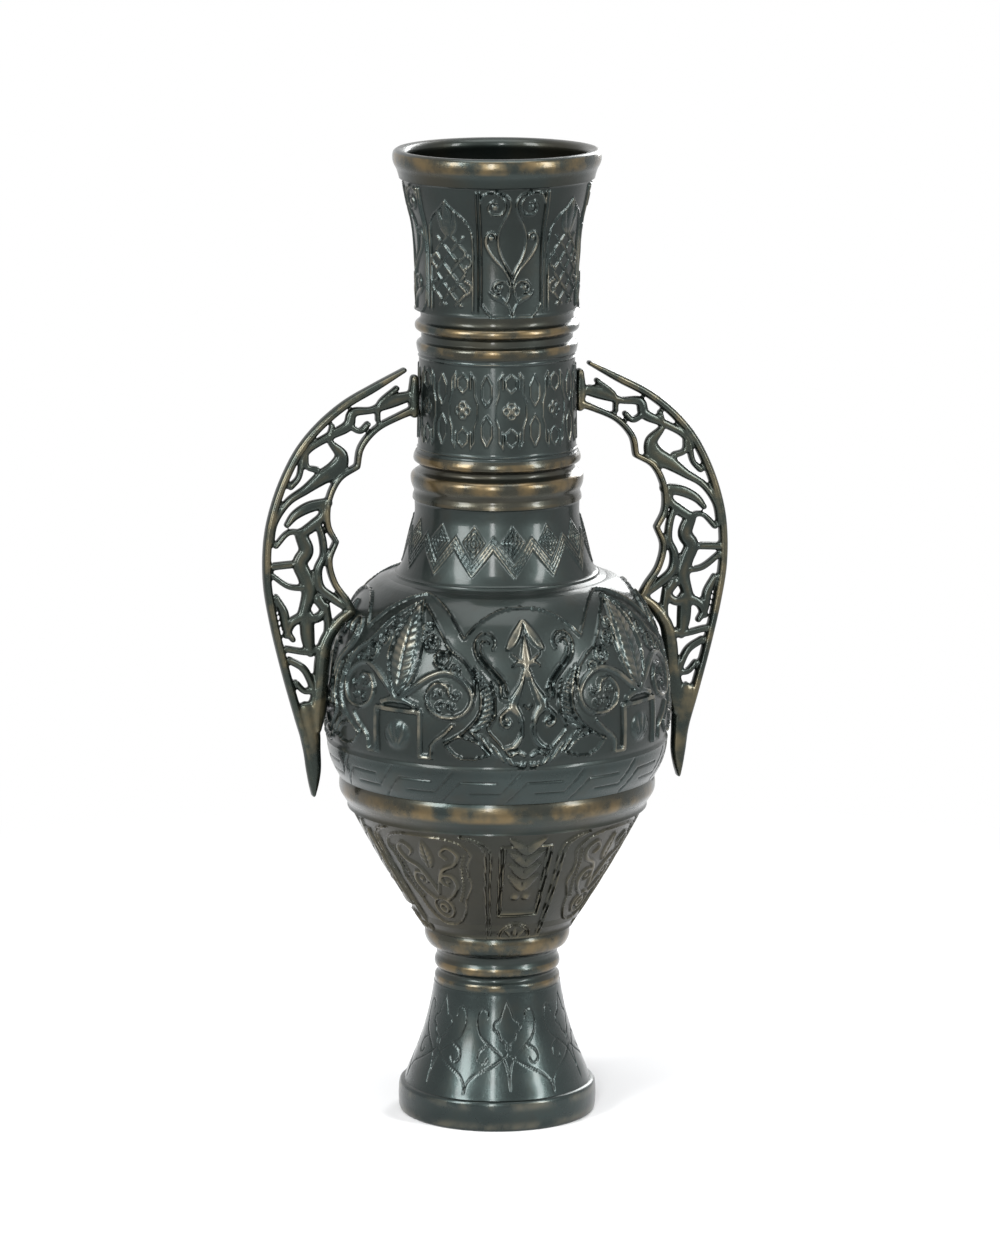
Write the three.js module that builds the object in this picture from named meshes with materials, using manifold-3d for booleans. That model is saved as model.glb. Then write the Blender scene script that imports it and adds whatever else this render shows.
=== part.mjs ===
import * as THREE from "three";
import { mergeVertices } from "three/addons/utils/BufferGeometryUtils.js";
import Module from "manifold-3d";

// Twin-handled baluster vase in bronze. Millimetres, Z up, the foot stands on Z = 0.
// The vessel is a stack of turned shells, held together by one bolt through the foot.
// Two pierced handles stand on the left (-X) and the right (+X), screwed on from inside.

const wasm = await Module();
wasm.setup();

// Shared making sizes
const sides = 32;
const wall = 4;
const lipHeight = 4;
const lipThickness = 2;
const lipClearance = 0.3;
const contactGap = 0.3;

// Sections, from the bottom up. Radii are outer radii, rises are above the section's base.
const plinth = { height: 24, radius: 77.1, edge: 1.5, ringWidth: 9, plateBase: 10, plateThickness: 5 };
const foot = { height: 80, bottomRadius: 73.4, topRadius: 49.6, waistDrop: 2.2 };
const stem = {
  height: 46, wall: 7, footRing: 49.2, hollow: 46.2, middleRing: 49.2, neck: 47.6, crown: 57, crownRise: 31,
};
const lowerBody = { height: 96, bottomRadius: 59.5, topRadius: 115.5, bow: 1.6, floor: 8 };
const bellyMoulding = { height: 26, lower: 117.3, middle: 120.4, fillet: 123.4 };
const keyBand = { height: 28, bottomRadius: 124.4, bow: 2, topRadius: 133.4 };
const shoulder = { height: 131, widest: 136.3, widestRise: 28, topRadius: 79.5 };
const cone = { height: 58, bottomRadius: 77.6, middleRadius: 70.9, waistRadius: 65.1, waistRise: 46 };
const lowerRings = { height: 37, wall: 6, fillet: 65.6, cove: 64.5, torus: 66.7, notch: 60.6, bead: 64.7 };
const neckBand = { height: 78, bottomRadius: 62.4, topRadius: 61.3 };
const upperRings = { height: 33, lowerRing: 62.2, groove: 58.7, upperRing: 63.3, throat: 59.4 };
const collar = { height: 101, bottomRadius: 64, middleRadius: 65, middleRise: 52, topRadius: 74 };
const mouth = { height: 22, cove: 75.4, bore: 70.6, lip: 80.6, lipRise: 12, opening: 69.5 };

// Fixings
const bolt = { radius: 5, headRadius: 9.5, headHeight: 7, clearance: 0.4, end: 1.5 };
const washer = { radius: 13, thickness: 2 };
const nut = { radius: 9.5, height: 5.5 };
const screw = { radius: 2.4, headRadius: 4.4, headHeight: 3, clearance: 0.3, bite: 9 };

// Handles: drawn as strips of [distance out from the axis, height, half-width].
// The drawn anchors are moved to where the neck and the shoulder really stand.
const handle = { depth: 11, drawnLow: 328, drawnHigh: 566, drawnShoulder: 136.3, drawnNeck: 61.8 };
const neckScrewRise = 40;
const boltHole = bolt.radius + bolt.clearance;

// Levels of the joints between sections
const footLevel = plinth.height;
const stemLevel = footLevel + foot.height;
const bodyLevel = stemLevel + stem.height;
const bellyLevel = bodyLevel + lowerBody.height;
const keyLevel = bellyLevel + bellyMoulding.height;
const shoulderLevel = keyLevel + keyBand.height;
const coneLevel = shoulderLevel + shoulder.height;
const lowerRingsLevel = coneLevel + cone.height;
const neckLevel = lowerRingsLevel + lowerRings.height;
const upperRingsLevel = neckLevel + neckBand.height;
const collarLevel = upperRingsLevel + upperRings.height;
const mouthLevel = collarLevel + collar.height;
const neckScrewLevel = neckLevel + neckScrewRise;
const shoulderScrewLevel = shoulderLevel + shoulder.widestRise;
const neckScrewRadius = neckBand.bottomRadius
  + (neckBand.topRadius - neckBand.bottomRadius) * neckScrewRise / neckBand.height;

// Outer outlines, [radius, rise], from the bottom up
const footSkirt = [foot.bottomRadius - 6, foot.height * 0.2];
const footThroat = [foot.topRadius + 0.6, foot.height * 0.96];
const footOutline = [
  [foot.bottomRadius, 0],
  [foot.bottomRadius - 3.6, foot.height * 0.13],
  ...arcBetween(footSkirt, footThroat, -foot.waistDrop, 5),
  [foot.topRadius, foot.height],
];
const stemOutline = [
  [stem.footRing, 0],
  [stem.footRing, 5],
  [stem.hollow, 9.5],
  [stem.middleRing, 14],
  [stem.middleRing, 18],
  [stem.neck, 22],
  [stem.neck + 1.2, 27.5],
  [stem.crown - 3, stem.crownRise],
  [stem.crown, stem.crownRise + 6],
  [stem.crown, stem.crownRise + 11],
  [stem.crown - 1.5, stem.height],
];
const lowerBodyOutline = arcBetween(
  [lowerBody.bottomRadius, 0], [lowerBody.topRadius, lowerBody.height], lowerBody.bow, 8);
const bellyOutline = [
  [bellyMoulding.lower, 0],
  [bellyMoulding.lower, 3],
  [bellyMoulding.middle, 8],
  [bellyMoulding.fillet, 13.5],
  [bellyMoulding.fillet, 22],
  [bellyMoulding.fillet - 1.5, bellyMoulding.height],
];
const keyOutline = arcBetween(
  [keyBand.bottomRadius, 0], [keyBand.topRadius, keyBand.height], keyBand.bow, 4);
const shoulderOutline = [
  ...quarter([keyBand.topRadius, 0], [shoulder.widest, shoulder.widestRise], 3),
  ...quarterUp([shoulder.widest, shoulder.widestRise], [shoulder.topRadius, shoulder.height], 1.92, 11),
];
const coneOutline = [
  [cone.bottomRadius + 1.2, 0],
  [cone.bottomRadius - 3.2, 9],
  [cone.middleRadius, 23],
  [cone.waistRadius + 2.6, 36],
  [cone.waistRadius, cone.waistRise],
  [cone.waistRadius, cone.height],
];
const lowerRingsOutline = [
  [lowerRings.fillet, 0],
  [lowerRings.fillet, 2.5],
  [lowerRings.cove, 6],
  [lowerRings.torus, 12],
  [lowerRings.torus, 19],
  [lowerRings.notch, 24],
  [lowerRings.notch, 27],
  [lowerRings.bead, 30],
  [lowerRings.bead, 34],
  [lowerRings.bead - 1.5, lowerRings.height],
];
const neckOutline = [
  [neckBand.bottomRadius, 0],
  [neckBand.topRadius, neckBand.height],
];
const upperRingsOutline = [
  [upperRings.lowerRing - 0.8, 0],
  [upperRings.lowerRing, 3],
  [upperRings.lowerRing, 7],
  [upperRings.groove, 10],
  [upperRings.groove, 14],
  [upperRings.upperRing, 18],
  [upperRings.upperRing, 22],
  [upperRings.throat, 26],
  [upperRings.throat, upperRings.height],
];
const collarOutline = [
  [collar.bottomRadius, 0],
  [collar.middleRadius, collar.middleRise],
  ...arcBetween([collar.middleRadius + 2.2, 69], [collar.topRadius, collar.height], 0.6, 4),
];
const mouthOutline = [
  [mouth.cove, 0],
  [mouth.cove + 2.2, 7],
  [mouth.lip - 0.9, mouth.lipRise - 1],
  [mouth.lip, mouth.lipRise + 3],
  [mouth.lip - 0.8, mouth.height - 1.6],
  [mouth.lip - 3.2, mouth.height],
];

// Strips of one handle, shared by the left and the right
const rails = [
  [[74, 591, 2], [98, 578, 3.4], [121, 565.5, 3.5], [141.5, 549, 3.5], [156.5, 531.5, 3.5], [168, 510.5, 3.5],
    [176.8, 487, 3.5], [182, 463, 3.5], [182.8, 430, 3.5], [178.5, 401, 3.5], [169.8, 363, 3.5],
    [159.3, 324.6, 3.6], [152, 299, 3.6], [148.4, 278, 3.2], [147.4, 264, 2]],
  [[66, 560, 3.6], [78, 555.3, 3], [96.5, 546, 2.8], [108.5, 532, 2.8], [111.5, 517.5, 2.6]],
  [[111.5, 517.5, 2.6], [125.5, 509, 2.8], [134, 492.5, 2.8], [135, 472.5, 2.8], [128.5, 459.5, 2.4]],
  [[128.5, 459.5, 2.4], [134, 445, 2.8], [130, 427.5, 2.8], [121, 414, 3], [116, 404, 3.6]],
];
const straps = [
  [[66, 584, 3.4], [66.5, 570, 4.6], [66, 557, 3.6]],
  [[117, 404, 4], [124.5, 398.5, 4.4], [131, 391, 5], [137, 381, 5.4], [140, 366, 6.2], [141.5, 346, 6.2],
    [144, 327, 7.6], [144.5, 313, 4]],
  [[153, 327, 8], [150, 310, 8.4], [148.3, 295, 7], [147.2, 280, 6], [147.2, 268, 3.8], [147.4, 260.5, 1.6]],
];
const filling = [
  [[68, 571, 4], [84, 567, 5.4], [99, 561, 3], [115, 559, 4], [118, 550, 4.6], [133, 542, 3.6],
    [152, 530, 3.2], [158, 510, 2.4], [164, 504, 3]],
  [[80, 577, 2.4], [94, 565, 2.2], [95, 553, 2.2]],
  [[118, 550, 2.6], [109, 545, 2.6], [103, 550, 2.6]],
  [[131, 550, 2.2], [133, 539, 2.4], [124, 527, 5.5], [127, 517, 7.8], [139, 510, 6.2], [152, 501, 4],
    [166, 492, 3.2], [177, 476, 3], [180, 460, 2.8]],
  [[152, 528, 2.4], [151, 519, 2.4], [143, 516, 2.8]],
  [[135, 490, 4.2], [150, 487, 4.7], [161, 481, 3.8], [167, 474, 2.4]],
  [[140, 490, 2.6], [139, 481, 3.4], [146, 473, 4.7], [157, 466, 4]],
  [[156, 468, 2.4], [166, 468, 2.4], [176, 458, 2.4]],
  [[156, 466, 5.2], [152, 453, 6.2], [157, 444, 6.2], [153, 433, 6.2], [150, 421, 6.2], [153, 409, 5],
    [155, 402, 5]],
  [[164, 443, 3.2], [180, 442, 3.2]],
  [[143, 475, 2.6], [139, 461, 3.2], [138.5, 449, 3.2], [143, 437, 3.8], [141, 424, 3.8], [131, 415, 3.8],
    [122, 408, 3]],
  [[155, 424, 2.6], [166, 426, 2.6], [180, 436, 2.4]],
  [[176, 418, 2.6], [170, 405, 4], [168, 392, 3.2], [163, 384, 2.4]],
  [[155, 402, 4.4], [164, 397, 4], [168, 388, 3.2]],
  [[155, 402, 4.4], [144, 400, 4], [138, 406, 4], [143, 415, 4.4]],
  [[152, 402, 6], [151, 384, 5.6], [149, 373, 3.6]],
  [[137, 409, 3.8], [135, 394, 3.4], [138, 380, 3.4], [148, 374, 3], [169, 377, 2.8]],
  [[166, 368, 3], [155, 361, 3.2], [149, 350, 3.2], [145, 338, 4]],
  [[161, 350, 2.6], [154, 343, 2.6], [146, 344, 3.2]],
];

// A point list that bows outwards from a straight line by the given amount at its middle
function arcBetween(start, end, bow, steps) {
  const length = Math.hypot(end[0] - start[0], end[1] - start[1]);
  const across = [(end[1] - start[1]) / length, (start[0] - end[0]) / length];
  return Array.from({ length: steps + 1 }, (_, index) => {
    const along = index / steps;
    const out = 4 * bow * along * (1 - along);
    return [
      start[0] + (end[0] - start[0]) * along + across[0] * out,
      start[1] + (end[1] - start[1]) * along + across[1] * out,
    ];
  });
}

// A quarter ellipse that leaves its start on a slope and arrives upright at its end
function quarter(start, end, steps) {
  return Array.from({ length: steps }, (_, index) => {
    const angle = (index / steps) * Math.PI / 2;
    return [
      start[0] + (end[0] - start[0]) * Math.sin(angle),
      start[1] + (end[1] - start[1]) * (1 - Math.cos(angle)),
    ];
  });
}

// A quarter superellipse that leaves its start upright and lies flat at its end
function quarterUp(start, end, power, steps) {
  return Array.from({ length: steps + 1 }, (_, index) => {
    const angle = (index / steps) * Math.PI / 2;
    return [
      end[0] + (start[0] - end[0]) * Math.cos(angle) ** (2 / power),
      start[1] + (end[1] - start[1]) * Math.sin(angle) ** (2 / power),
    ];
  });
}

// Welds a geometry into one closed surface whose faces look outwards
function welded(geometry) {
  geometry.deleteAttribute("normal");
  geometry.deleteAttribute("uv");
  const merged = mergeVertices(geometry, 1e-4);
  const place = merged.getAttribute("position");
  const index = Array.from(merged.index.array);
  const kept = [];
  for (let i = 0; i < index.length; i += 3) {
    const [a, b, c] = [index[i], index[i + 1], index[i + 2]];
    if (a !== b && b !== c && a !== c) kept.push(a, b, c);
  }
  const corner = [new THREE.Vector3(), new THREE.Vector3(), new THREE.Vector3()];
  let volume = 0;
  for (let i = 0; i < kept.length; i += 3) {
    corner.forEach((point, k) => point.fromBufferAttribute(place, kept[i + k]));
    volume += corner[0].dot(corner[1].cross(corner[2]));
  }
  if (volume < 0) {
    for (let i = 0; i < kept.length; i += 3) {
      [kept[i + 1], kept[i + 2]] = [kept[i + 2], kept[i + 1]];
    }
  }
  merged.setIndex(kept);
  return merged;
}

function toSolid(geometry) {
  const closed = welded(geometry);
  return new wasm.Manifold(new wasm.Mesh({
    numProp: 3,
    vertProperties: new Float32Array(closed.getAttribute("position").array),
    triVerts: new Uint32Array(closed.index.array),
  }));
}

function toGeometry(solid) {
  const mesh = solid.getMesh();
  const geometry = new THREE.BufferGeometry();
  const stride = mesh.numProp;
  const count = mesh.vertProperties.length / stride;
  const place = new Float32Array(count * 3);
  for (let i = 0; i < count; i += 1) {
    place.set(mesh.vertProperties.subarray(i * stride, i * stride + 3), i * 3);
  }
  geometry.setAttribute("position", new THREE.BufferAttribute(place, 3));
  geometry.setIndex(Array.from(mesh.triVerts));
  return geometry;
}

// Turns a closed outline of [radius, level] about the Z axis
function turned(outline) {
  const points = [...outline, outline[0]].map(([radius, level]) => new THREE.Vector2(radius, level));
  const geometry = new THREE.LatheGeometry(points, sides);
  geometry.rotateX(Math.PI / 2);
  return geometry;
}

// The inner outline of a shell, [radius, rise]: straight, or every other point where it is curved
function boreLine(outline, { thickness = wall, curved = false } = {}) {
  const last = outline.length - 1;
  return outline
    .filter((_, index) => index === 0 || index === last || (curved && index % 2 === 0))
    .map(([radius, rise]) => [radius - thickness, rise]);
}

// The narrowest bore that the lip of the shell below has to enter
function boreOf(outline, options) {
  const line = boreLine(outline, options);
  return Math.min(radiusAt(line, 0), radiusAt(line, lipHeight));
}

// A turned shell: its outer outline, its bore, and a lip on top that enters the next shell.
// The bore is straight, or follows every other point of the outline where the shell is curved.
function shell(outline, level, options = {}) {
  const { nextBore = null, floor = 0 } = options;
  const top = level + outline[outline.length - 1][1];
  const outer = outline.map(([radius, rise]) => [radius, level + rise]);
  const inner = boreLine(outline, options).map(([radius, rise]) => [radius, level + rise]);
  const bottom = level + floor;
  const ledge = nextBore === null ? top : top - lipHeight;
  const result = [...outer];
  if (nextBore !== null) {
    const lipOuter = nextBore - lipClearance;
    const lipInner = lipOuter - lipThickness;
    result.push([lipOuter, top], [lipOuter, top + lipHeight], [lipInner, top + lipHeight]);
    result.push([lipInner, ledge + lipThickness]);
  }
  result.push([radiusAt(inner, ledge), ledge]);
  result.push(...inner.filter(([, height]) => height < ledge - 1 && height > bottom + 1).reverse());
  result.push([radiusAt(inner, bottom), bottom]);
  if (floor > 0) result.push([boltHole, bottom], [boltHole, level]);
  return turned(result);
}

// Radius of an outline at a level, on the straight line between its points
function radiusAt(outline, level) {
  const rising = [...outline].sort((a, b) => a[1] - b[1]);
  for (let i = 1; i < rising.length; i += 1) {
    const [low, high] = [rising[i - 1], rising[i]];
    if (level <= high[1]) {
      const share = (level - low[1]) / Math.max(high[1] - low[1], 1e-6);
      return low[0] + (high[0] - low[0]) * Math.min(Math.max(share, 0), 1);
    }
  }
  return rising[rising.length - 1][0];
}

// A round or six-sided bar between two points of the X or Z axis
function bar(radius, from, to, axis, level = 0, around = 16) {
  const geometry = new THREE.CylinderGeometry(radius, radius, Math.abs(to - from), around);
  if (axis === "x") {
    geometry.rotateZ(Math.PI / 2);
    geometry.translate((from + to) / 2, 0, level);
  } else {
    geometry.rotateX(Math.PI / 2);
    geometry.translate(0, 0, (from + to) / 2);
  }
  return geometry;
}

// Moves a drawn handle point so that the handle still meets the neck and the shoulder
function placed([out, height, half]) {
  const share = (height - handle.drawnLow) / (handle.drawnHigh - handle.drawnLow);
  const held = Math.min(Math.max(share, 0), 1);
  const shift = (1 - held) * (shoulder.widest - handle.drawnShoulder)
    + held * (neckScrewRadius - handle.drawnNeck);
  const level = shoulderScrewLevel + share * (neckScrewLevel - shoulderScrewLevel);
  return new THREE.Vector3(out + shift, level, half);
}

// A strip follows a smooth curve through its drawn points, blunt at both ends, extruded along Y
function strip(points, spacing) {
  const curve = new THREE.CatmullRomCurve3(points.map(placed), false, "centripetal");
  const count = Math.max(2, Math.round(curve.getLength() / spacing));
  const stops = curve.getSpacedPoints(count);
  const near = [];
  const far = [];
  let heading = 0;
  stops.forEach((stop, index) => {
    const before = stops[Math.max(index - 1, 0)];
    const after = stops[Math.min(index + 1, count)];
    heading = Math.atan2(after.y - before.y, after.x - before.x);
    const [across, up] = [-Math.sin(heading) * stop.z, Math.cos(heading) * stop.z];
    if (index === 0) {
      near.push([stop.x - Math.cos(heading) * stop.z, stop.y - Math.sin(heading) * stop.z]);
    }
    near.push([stop.x + across, stop.y + up]);
    far.unshift([stop.x - across, stop.y - up]);
  });
  const last = stops[count];
  const tip = [last.x + Math.cos(heading) * last.z, last.y + Math.sin(heading) * last.z];
  const shape = new THREE.Shape();
  const ring = [...near, tip, ...far];
  ring.forEach(([x, y], index) => (index ? shape.lineTo(x, y) : shape.moveTo(x, y)));
  shape.closePath();
  const geometry = new THREE.ExtrudeGeometry(shape, { depth: handle.depth, bevelEnabled: false, steps: 1 });
  geometry.translate(0, 0, -handle.depth / 2);
  geometry.rotateX(Math.PI / 2);
  return toSolid(geometry);
}

// The vessel's outside with the contact gap added, used to trim the handles
function vesselEnvelope() {
  const outline = [
    ...keyOutline.map(([radius, rise]) => [radius + contactGap, keyLevel + rise]),
    ...shoulderOutline.slice(1).map(([radius, rise]) => [
      radius + contactGap, shoulderLevel + rise + contactGap,
    ]),
    ...coneOutline.slice(1).map(([radius, rise]) => [radius + contactGap, coneLevel + rise]),
    ...lowerRingsOutline.map(([radius, rise]) => [radius + contactGap, lowerRingsLevel + rise]),
    ...neckOutline.map(([radius, rise]) => [radius + contactGap, neckLevel + rise]),
  ];
  const top = outline[outline.length - 1][1];
  return toSolid(turned([[0, keyLevel], ...outline, [0, top]]));
}

// Where a screw head can bear: the narrowest bore over the height of the head
function bearingAt(outline, options, rise) {
  const line = boreLine(outline, options);
  const heights = [rise - screw.headRadius, rise, rise + screw.headRadius];
  return Math.min(...heights.map((height) => radiusAt(line, height)));
}

const neckWallInside = bearingAt(neckOutline, {}, neckScrewRise);
const shoulderWallInside = bearingAt(shoulderOutline, { curved: true }, shoulder.widestRise);
const facetDrop = screw.headRadius * Math.tan(Math.PI / sides);

const screwSpots = [
  { level: neckScrewLevel, inside: neckWallInside, outside: neckScrewRadius },
  { level: shoulderScrewLevel, inside: shoulderWallInside, outside: shoulder.widest },
];

// The clearance hole that one screw needs through the wall and into the handle
function screwHole(spot, side) {
  const radius = screw.radius + screw.clearance;
  const end = spot.outside + screw.bite + screw.clearance;
  return toSolid(bar(radius, side * (spot.inside - 6), side * end, "x", spot.level, 12));
}

// A cap screw whose head bears on the inside of the wall
function handleScrew(spot, side) {
  const face = spot.inside - facetDrop - contactGap;
  const back = face - screw.headHeight;
  const end = spot.outside + screw.bite;
  const head = toSolid(bar(screw.headRadius, side * back, side * face, "x", spot.level, 12));
  const shank = toSolid(bar(screw.radius, side * (face - 0.5), side * end, "x", spot.level, 12));
  return head.add(shank);
}

function handleSolid() {
  const pieces = [
    ...rails.map((points) => strip(points, 10)),
    ...straps.map((points) => strip(points, 11)),
    ...filling.map((points) => strip(points, 8)),
  ];
  let solid = pieces[0];
  for (const piece of pieces.slice(1)) solid = solid.add(piece);
  solid = solid.subtract(vesselEnvelope());
  for (const spot of screwSpots) solid = solid.subtract(screwHole(spot, 1));
  return solid;
}

// Largest separate body of a solid, so that no trimmed crumb is left beside it
function mainBody(solid) {
  const bodies = solid.decompose();
  return bodies.reduce((best, body) => (body.volume() > best.volume() ? body : best));
}

function mirrored(geometry) {
  const copy = geometry.clone();
  copy.scale(-1, 1, 1);
  return copy;
}

function drilled(geometry, spot) {
  const left = screwHole(spot, -1);
  const right = screwHole(spot, 1);
  return toGeometry(toSolid(geometry).subtract(left).subtract(right));
}

function plinthGeometry() {
  const ringInner = plinth.radius - plinth.ringWidth;
  const lipOuter = boreOf(footOutline, { curved: true }) - lipClearance;
  const plateTop = plinth.plateBase + plinth.plateThickness;
  return turned([
    [ringInner, 0],
    [plinth.radius - plinth.edge, 0],
    [plinth.radius, plinth.edge],
    [plinth.radius, plinth.height - plinth.edge],
    [plinth.radius - plinth.edge, plinth.height],
    [lipOuter, plinth.height],
    [lipOuter, plinth.height + lipHeight],
    [lipOuter - lipThickness, plinth.height + lipHeight],
    [lipOuter - lipThickness, plateTop],
    [boltHole, plateTop],
    [boltHole, plinth.plateBase],
    [ringInner, plinth.plateBase],
  ]);
}

function mouthGeometry() {
  const outer = mouthOutline.map(([radius, rise]) => [radius, mouthLevel + rise]);
  const top = mouthLevel + mouth.height;
  return turned([
    ...outer,
    [mouth.opening + 2.4, top],
    [mouth.opening, top - 2.6],
    [mouth.opening, top - 8],
    [mouth.bore, mouthLevel + lipHeight + 2],
    [mouth.bore, mouthLevel],
  ]);
}

const floorTop = bodyLevel + lowerBody.floor;

function boltGeometry() {
  const shank = toSolid(bar(bolt.radius, bolt.end, floorTop + 1, "z", 0, 16));
  const head = toSolid(bar(bolt.headRadius, floorTop, floorTop + bolt.headHeight, "z", 0, 6));
  return toGeometry(shank.add(head));
}

function ringGeometry(radius, bottom, top, around) {
  const disc = toSolid(bar(radius, bottom, top, "z", 0, around));
  const hole = toSolid(bar(boltHole, bottom - 1, top + 1, "z", 0, 16));
  return toGeometry(disc.subtract(hole));
}

const darkBronze = { color: 0x2e2c24, roughness: 0.42, metalness: 0.85 };
const brownBronze = { color: 0x4a3722, roughness: 0.4, metalness: 0.85 };
const rubbedBronze = { color: 0x5a4a2c, roughness: 0.38, metalness: 0.9 };
const steel = { color: 0x6f7072, roughness: 0.45, metalness: 0.9 };

const group = new THREE.Group();
group.name = "twin_handled_vase";

function addPiece(name, geometry, finish) {
  const closed = welded(geometry.clone());
  closed.computeVertexNormals();
  const mesh = new THREE.Mesh(closed, new THREE.MeshStandardMaterial({ ...finish }));
  mesh.name = name;
  group.add(mesh);
}

addPiece("foot_plinth", plinthGeometry(), darkBronze);
addPiece("foot", shell(footOutline, footLevel, {
  curved: true, nextBore: boreOf(stemOutline, { thickness: stem.wall }),
}), darkBronze);
addPiece("stem_rings", shell(stemOutline, stemLevel, { thickness: stem.wall }), rubbedBronze);
addPiece("lower_body", shell(lowerBodyOutline, bodyLevel, {
  curved: true, nextBore: boreOf(bellyOutline), floor: lowerBody.floor,
}), brownBronze);
addPiece("belly_moulding", shell(bellyOutline, bellyLevel, { nextBore: boreOf(keyOutline) }), rubbedBronze);
addPiece("key_fret_band", shell(keyOutline, keyLevel, {
  nextBore: boreOf(shoulderOutline, { curved: true }),
}), darkBronze);
const shoulderShell = shell(shoulderOutline, shoulderLevel, { curved: true, nextBore: boreOf(coneOutline) });
addPiece("shoulder", drilled(shoulderShell, screwSpots[1]), darkBronze);
addPiece("shoulder_cone", shell(coneOutline, coneLevel, {
  nextBore: boreOf(lowerRingsOutline, { thickness: lowerRings.wall }),
}), darkBronze);
addPiece("lower_neck_rings", shell(lowerRingsOutline, lowerRingsLevel, {
  thickness: lowerRings.wall, nextBore: boreOf(neckOutline),
}), rubbedBronze);
const neckShell = shell(neckOutline, neckLevel, { nextBore: boreOf(upperRingsOutline) });
addPiece("neck_band", drilled(neckShell, screwSpots[0]), darkBronze);
addPiece("upper_neck_rings", shell(upperRingsOutline, upperRingsLevel, {
  nextBore: boreOf(collarOutline, { curved: true }),
}), rubbedBronze);
addPiece("neck_collar", shell(collarOutline, collarLevel, {
  curved: true, nextBore: mouth.bore,
}), darkBronze);
addPiece("mouth_ring", mouthGeometry(), rubbedBronze);

const rightHandle = toGeometry(mainBody(handleSolid()));
addPiece("right_handle", rightHandle, darkBronze);
addPiece("left_handle", mirrored(rightHandle), darkBronze);

const [neckSpot, shoulderSpot] = screwSpots;
addPiece("left_neck_screw", toGeometry(handleScrew(neckSpot, -1)), steel);
addPiece("right_neck_screw", toGeometry(handleScrew(neckSpot, 1)), steel);
addPiece("left_shoulder_screw", toGeometry(handleScrew(shoulderSpot, -1)), steel);
addPiece("right_shoulder_screw", toGeometry(handleScrew(shoulderSpot, 1)), steel);
addPiece("foot_bolt", boltGeometry(), steel);
const washerBottom = plinth.plateBase - washer.thickness;
addPiece("foot_washer", ringGeometry(washer.radius, washerBottom, plinth.plateBase, 24), steel);
addPiece("foot_nut", ringGeometry(nut.radius, washerBottom - nut.height, washerBottom, 6), steel);

export default group;
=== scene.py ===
import math

import bpy
import numpy as np
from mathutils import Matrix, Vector


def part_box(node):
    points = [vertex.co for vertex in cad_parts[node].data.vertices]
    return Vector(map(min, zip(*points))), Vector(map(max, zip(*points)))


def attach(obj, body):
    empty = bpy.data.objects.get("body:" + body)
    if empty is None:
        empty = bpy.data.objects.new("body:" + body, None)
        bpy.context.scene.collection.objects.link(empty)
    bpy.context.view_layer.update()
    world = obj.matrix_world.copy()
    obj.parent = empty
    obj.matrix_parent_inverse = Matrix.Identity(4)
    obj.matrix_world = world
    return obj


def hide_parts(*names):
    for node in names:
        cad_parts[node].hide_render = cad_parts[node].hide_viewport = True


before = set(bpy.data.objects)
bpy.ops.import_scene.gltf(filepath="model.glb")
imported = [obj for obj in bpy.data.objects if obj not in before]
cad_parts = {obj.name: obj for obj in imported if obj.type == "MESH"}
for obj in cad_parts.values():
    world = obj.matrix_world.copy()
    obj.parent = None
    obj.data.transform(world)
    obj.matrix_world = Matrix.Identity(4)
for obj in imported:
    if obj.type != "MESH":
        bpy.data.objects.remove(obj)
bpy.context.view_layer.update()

bl_info = {
    "name": "Twin-handled vase",
    "version": (1, 0, 0),
    "blender": (4, 5, 0),
    "location": "View3D > Sidebar > Vase",
    "description": "Patinated bronze vase with relief bands and two pierced scroll handles",
    "category": "Add Mesh",
}

MM = 0.001
TURN = 2 * math.pi

# The turned sections from the bottom up. Each one starts where the last one ends.
STACK = (
    "foot_plinth", "foot", "stem_rings", "lower_body", "belly_moulding", "key_fret_band", "shoulder",
    "shoulder_cone", "lower_neck_rings", "neck_band", "upper_neck_rings", "neck_collar", "mouth_ring",
)
SLOTS = {
    "foot_plinth": "dark_bronze", "foot": "dark_bronze", "stem_rings": "rubbed_bronze",
    "lower_body": "brown_bronze", "belly_moulding": "rubbed_bronze", "key_fret_band": "dark_bronze",
    "shoulder": "dark_bronze", "shoulder_cone": "dark_bronze", "lower_neck_rings": "rubbed_bronze",
    "neck_band": "dark_bronze", "upper_neck_rings": "rubbed_bronze", "neck_collar": "dark_bronze",
    "mouth_ring": "rubbed_bronze",
}

# Angle of each section's front panel, in degrees from the front (-Y) towards the right handle.
# The camera looks past the object's front by ROOM_TURN degrees.
ROOM_TURN = 14.5
CLOCKING = {
    "neck_collar": -4.0, "neck_band": -4.0, "shoulder_cone": -4.0, "shoulder": -4.3, "lower_body": -2.0, "foot": -6.0,
}


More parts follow.
